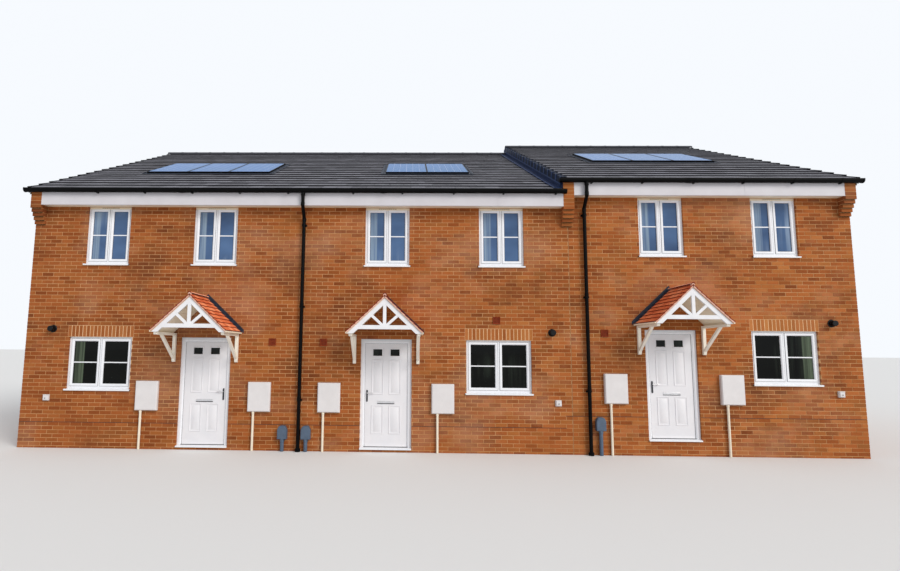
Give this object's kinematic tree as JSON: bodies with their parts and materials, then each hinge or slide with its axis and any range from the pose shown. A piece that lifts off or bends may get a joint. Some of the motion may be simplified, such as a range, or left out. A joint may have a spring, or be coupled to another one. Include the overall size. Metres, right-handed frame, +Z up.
{
  "type": "terraced house row",
  "caption": "Row of two-storey brick houses with a stepped tiled roof, gabled door canopies, hinged front doors and roof solar panels.",
  "frame": {"origin": "on the ground, under the middle of the brick walls, in the underside of the middle house's floor", "axes": "+X along the street front towards the higher house, +Y from the street front into the building, +Z up"},
  "size_m": [16.41, 12.742, 8.3128],
  "materials": {
    "brick": "rough orange-brown facing brick with pale mortar",
    "block": "plain grey blockwork",
    "concrete": "plain floor",
    "boarding": "floor boarding",
    "plaster": "matt plaster",
    "roof_tile": "dark grey flat interlocking tiles",
    "cladding": "dark plastic cladding",
    "upvc": "white plastic, satin",
    "rainwater": "black plastic",
    "upper_glass": "clear window glass",
    "ground_glass": "clear window glass",
    "door_skin": "white moulded door skin",
    "door_glass": "dark glass",
    "handle": "polished",
    "canopy_tile": "terracotta tiles",
    "white_timber": "white painted timber",
    "lead": "grey lead sheet",
    "meter_white": "white moulded plastic",
    "terracotta": "terracotta plastic",
    "flue_black": "black plastic",
    "entry_grey": "blue-grey plastic",
    "panel": "dark blue glass over black cells"
  },
  "bodies": {
    "row": {"ground_floors": "concrete", "upper_floors": "boarding", "upper_ceilings": "plaster", "threshold_brickwork": "brick", "front_wall_left": "brick", "front_wall_between_doors": "brick", "front_wall_at_step": "brick", "front_wall_right": "brick", "front_wall_upper_pair": "brick", "front_wall_upper_third": "brick", "rear_wall_pair": "brick", "rear_wall_third": "brick", "gable_wall_left": "brick", "gable_wall_right": "brick", "party_wall_one_two": "block", "party_wall_two_three": "block", "roof_front_pair": "roof_tile", "roof_rear_pair": "roof_tile", "roof_front_third": "roof_tile", "roof_rear_third": "roof_tile", "ridge_tiles": "roof_tile", "verge_strips": "roof_tile", "step_cladding": "cladding", "kneelers": "brick", "fascias": "upvc", "soffits": "upvc", "gutters": "rainwater", "downpipes": "rainwater", "upper_window_frames": "upvc", "ground_window_frames": "upvc", "upper_glass": "upper_glass", "ground_glass": "ground_glass", "window_sills": "upvc", "door_frames": "upvc", "door_sills": "upvc", "door_hinges": "upvc", "canopy_roofs": "canopy_tile", "canopy_trusses": "white_timber", "canopy_brackets": "white_timber", "canopy_flashings": "lead", "meter_boxes": "meter_white", "wall_vents": "terracotta", "flue_terminals": "flue_black", "outlet_boxes": "meter_white", "cable_entry_boxes": "entry_grey", "solar_panels": "panel", "panel_trays": "lead"},
    "door_1": {"door_leaf_1": "door_skin", "door_lights_1": "door_glass", "door_handle_1": "handle"},
    "door_2": {"door_leaf_2": "door_skin", "door_lights_2": "door_glass", "door_handle_2": "handle"},
    "door_3": {"door_leaf_3": "door_skin", "door_lights_3": "door_glass", "door_handle_3": "handle"}
  },
  "joints": [
    {"name": "door_1_hinge", "type": "hinge", "parent": "row", "child": "door_1", "pos_m": [-4.929, -5.6317, 1.045], "axis": [0, 0, 1], "range_deg": [0, 90]},
    {"name": "door_2_hinge", "type": "hinge", "parent": "row", "child": "door_2", "pos_m": [-0.551, -5.6317, 1.045], "axis": [0, 0, -1], "range_deg": [0, 90]},
    {"name": "door_3_hinge", "type": "hinge", "parent": "row", "child": "door_3", "pos_m": [4.934, -5.6317, 1.27], "axis": [0, 0, -1], "range_deg": [0, 90]}
  ]
}
